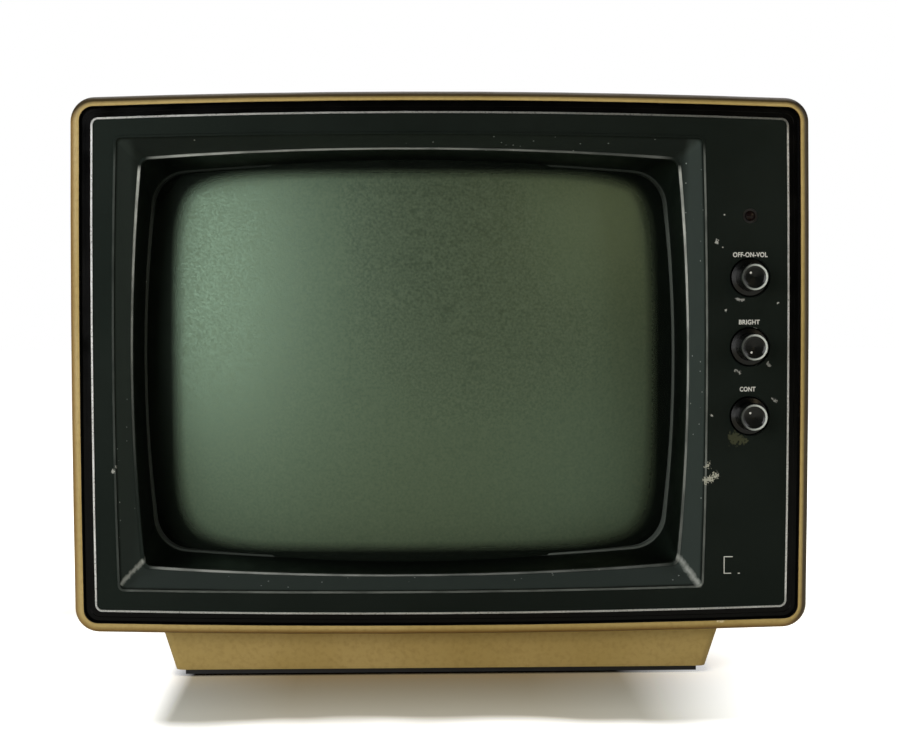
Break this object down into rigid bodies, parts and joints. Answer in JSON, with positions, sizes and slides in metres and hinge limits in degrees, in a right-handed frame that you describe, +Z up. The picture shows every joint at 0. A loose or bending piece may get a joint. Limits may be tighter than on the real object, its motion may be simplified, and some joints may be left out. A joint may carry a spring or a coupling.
{
  "type": "computer terminal",
  "caption": "Desktop character display with a tan moulded cabinet, a deep black bezel round a curved green-phosphor tube, front control knobs and a louvred tapering back on a low pedestal.",
  "frame": {"origin": "centre of the bounding box, on the surface the feet stand on", "axes": "+Z up, -Y out of the screen towards the viewer, +X to the viewer's right"},
  "size_m": [0.351, 0.31, 0.2802],
  "materials": {
    "tan_moulding": "fine texture",
    "foot_rubber": "matte",
    "black_gloss": "gloss",
    "silver_trim": "satin",
    "charcoal_moulding": "fine texture",
    "knob_black": "satin",
    "plated_steel": "zinc plated",
    "lamp_red": "gloss",
    "insulator_black": "satin",
    "tube_glass": "polished",
    "phosphor": "matte",
    "funnel_glass": "graphite coated",
    "gun_steel": "bright",
    "circuit_board": "satin",
    "yoke_plastic": "satin",
    "copper_winding": "enamelled",
    "ferrite": "matte",
    "sink_aluminium": "satin",
    "transistor_steel": "nickel plated",
    "capacitor_sleeve": "satin",
    "component_brown": "satin",
    "fuse_glass": "clear",
    "contact_brass": "bright",
    "core_lamination": "varnished",
    "winding_tape": "satin",
    "cone_paper": "matte",
    "anode_rubber": "matte",
    "lead_insulation": "satin",
    "panel_paint": "satin",
    "jack_nickel": "nickel plated",
    "gland_rubber": "matte",
    "base_paint": "satin"
  },
  "bodies": {
    "monitor": {"front_cabinet": "tan_moulding", "rear_cover": "tan_moulding", "pedestal": "tan_moulding", "rubber_feet": "foot_rubber", "gloss_surround": "black_gloss", "trim_line": "silver_trim", "front_bezel": "charcoal_moulding", "control_pots": "plated_steel", "power_switch": "plated_steel", "hold_pots": "plated_steel", "tube_screws": "plated_steel", "rear_screws": "plated_steel", "pedestal_screws": "plated_steel", "board_screws": "plated_steel", "rim_band": "plated_steel", "termination_switch": "plated_steel", "speaker_frame": "plated_steel", "chassis_tray": "plated_steel", "power_lamp": "lamp_red", "lamp_holder": "insulator_black", "tube_base": "insulator_black", "tube_socket": "insulator_black", "centring_magnets": "insulator_black", "flyback_winding": "insulator_black", "tube_faceplate": "tube_glass", "phosphor_screen": "phosphor", "tube_funnel": "funnel_glass", "electron_gun": "gun_steel", "main_board": "circuit_board", "control_board": "circuit_board", "socket_board": "circuit_board", "yoke_former": "yoke_plastic", "yoke_coils": "copper_winding", "yoke_core": "ferrite", "flyback_core": "ferrite", "heat_sink": "sink_aluminium", "power_transistors": "transistor_steel", "filter_capacitors": "capacitor_sleeve", "signal_components": "component_brown", "mains_fuse": "fuse_glass", "fuse_clips": "contact_brass", "jack_inserts": "contact_brass", "transformer_core": "core_lamination", "transformer_winding": "winding_tape", "speaker_cone": "cone_paper", "anode_cap": "anode_rubber", "eht_lead": "lead_insulation", "jack_panel": "panel_paint", "signal_jacks": "jack_nickel", "cord_gland": "gland_rubber", "base_plate": "base_paint"},
    "volume_control": {"volume_knob": "knob_black", "volume_shaft": "plated_steel"},
    "brightness_control": {"brightness_knob": "knob_black", "brightness_shaft": "plated_steel"},
    "contrast_control": {"contrast_knob": "knob_black", "contrast_shaft": "plated_steel"},
    "vertical_hold": {"vertical_hold_knob": "insulator_black"},
    "picture_height": {"picture_height_knob": "insulator_black"},
    "termination_slider": {"termination_lever": "insulator_black"}
  },
  "joints": [
    {"name": "volume_turn", "type": "hinge", "parent": "monitor", "child": "volume_control", "pos_m": [0.1474, -0.15, 0.1921], "axis": [0, 1, 0], "range_deg": [-107, 193]},
    {"name": "brightness_turn", "type": "hinge", "parent": "monitor", "child": "brightness_control", "pos_m": [0.1474, -0.15, 0.1589], "axis": [0, 1, 0], "range_deg": [0, 300]},
    {"name": "contrast_turn", "type": "hinge", "parent": "monitor", "child": "contrast_control", "pos_m": [0.1474, -0.15, 0.1257], "axis": [0, 1, 0], "range_deg": [-108, 192]},
    {"name": "vertical_hold_turn", "type": "hinge", "parent": "monitor", "child": "vertical_hold", "pos_m": [-0.014, 0.145, 0.076], "axis": [0, -1, 0], "range_deg": [-150, 150]},
    {"name": "picture_height_turn", "type": "hinge", "parent": "monitor", "child": "picture_height", "pos_m": [0.018, 0.145, 0.076], "axis": [0, -1, 0], "range_deg": [-150, 150]},
    {"name": "termination_slide", "type": "slide", "parent": "monitor", "child": "termination_slider", "axis": [1, 0, 0], "range_m": [0, 0.004]}
  ]
}
